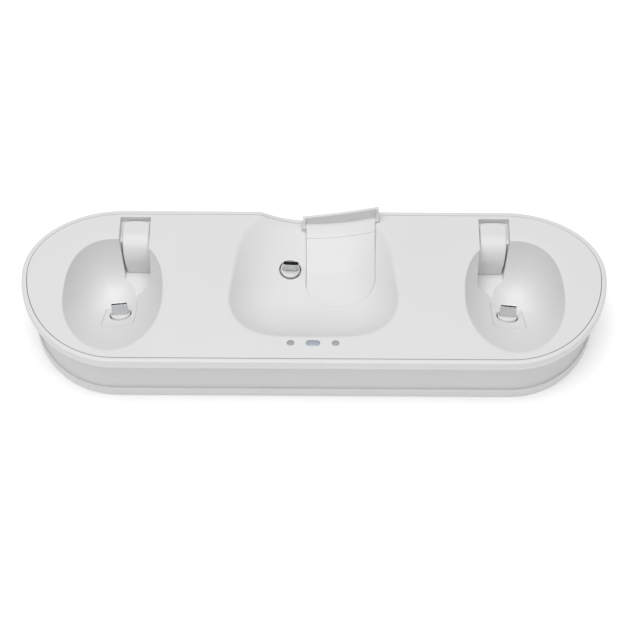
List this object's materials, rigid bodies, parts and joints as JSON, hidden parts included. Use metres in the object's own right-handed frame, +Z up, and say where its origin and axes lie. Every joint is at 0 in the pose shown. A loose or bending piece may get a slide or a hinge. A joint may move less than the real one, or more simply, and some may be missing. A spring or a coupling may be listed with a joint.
{
  "type": "charging dock",
  "caption": "Low white charging dock with a bowl for a hand controller at each end, a trough for a headset between them, and sprung plugs that tilt.",
  "frame": {"origin": "on the table, under the middle of the dock's outline", "axes": "+X to the user's right along the length, +Y to the back, +Z up; the user faces the dock from -Y"},
  "size_m": [0.296, 0.1, 0.0415],
  "materials": {
    "white_shell": "satin moulded plastic, fine sand texture",
    "white_textured": "moulded plastic with a fine matte texture",
    "plug_steel": "drawn stainless steel, nickel plated",
    "black_plastic": "glass-filled moulded plastic",
    "spring_steel": "zinc-plated steel",
    "pressed_steel": "galvanised sheet steel",
    "lens": "smoked translucent plastic, unlit",
    "board": "glass-fibre board with solder mask",
    "rubber": "matte moulded rubber"
  },
  "bodies": {
    "root": {"upper_body": "white_shell", "bottom_tray": "white_shell", "strap_rest": "white_shell", "left_chute": "white_shell", "right_chute": "white_shell", "top_shell": "white_textured", "strap_pad": "white_textured", "left_cradle": "white_textured", "right_cradle": "white_textured", "inlet_shell": "plug_steel", "inlet_blade": "black_plastic", "left_hinge_pin": "spring_steel", "middle_hinge_pin": "spring_steel", "right_hinge_pin": "spring_steel", "left_return_spring": "spring_steel", "middle_return_spring": "spring_steel", "right_return_spring": "spring_steel", "screw_1": "spring_steel", "screw_2": "spring_steel", "screw_3": "spring_steel", "screw_4": "spring_steel", "screw_5": "spring_steel", "screw_6": "spring_steel", "left_plug_bracket": "pressed_steel", "middle_plug_bracket": "pressed_steel", "right_plug_bracket": "pressed_steel", "left_ballast": "pressed_steel", "right_ballast": "pressed_steel", "left_light": "lens", "middle_light": "lens", "right_light": "lens", "main_board": "board", "light_board": "board", "inlet_board": "board", "left_cable": "rubber", "right_cable": "rubber", "foot_1": "rubber", "foot_2": "rubber", "foot_3": "rubber", "foot_4": "rubber", "foot_5": "rubber", "foot_6": "rubber"},
    "left_plug": {"left_plug_carrier": "white_textured", "left_plug_shell": "plug_steel", "left_contact_block": "black_plastic"},
    "middle_plug": {"middle_plug_carrier": "white_textured", "middle_plug_shell": "plug_steel", "middle_contact_block": "black_plastic"},
    "right_plug": {"right_plug_carrier": "white_textured", "right_plug_shell": "plug_steel", "right_contact_block": "black_plastic"}
  },
  "joints": [
    {"name": "left_plug_tilt", "type": "hinge", "parent": "root", "child": "left_plug", "pos_m": [-0.09803, -0.00547, 0.00873], "axis": [0.9937, 0, 0.1124], "range_deg": [-4, 4], "stiffness_Nm_per_rad": 0.06},
    {"name": "middle_plug_tilt", "type": "hinge", "parent": "root", "child": "middle_plug", "pos_m": [-0.01263, 0.01996, 0.01841], "axis": [0.9974, 0, -0.0717], "range_deg": [-4, 4], "stiffness_Nm_per_rad": 0.06},
    {"name": "right_plug_tilt", "type": "hinge", "parent": "root", "child": "right_plug", "pos_m": [0.09803, -0.00547, 0.00873], "axis": [0.9937, 0, -0.1124], "range_deg": [-4, 4], "stiffness_Nm_per_rad": 0.06}
  ]
}
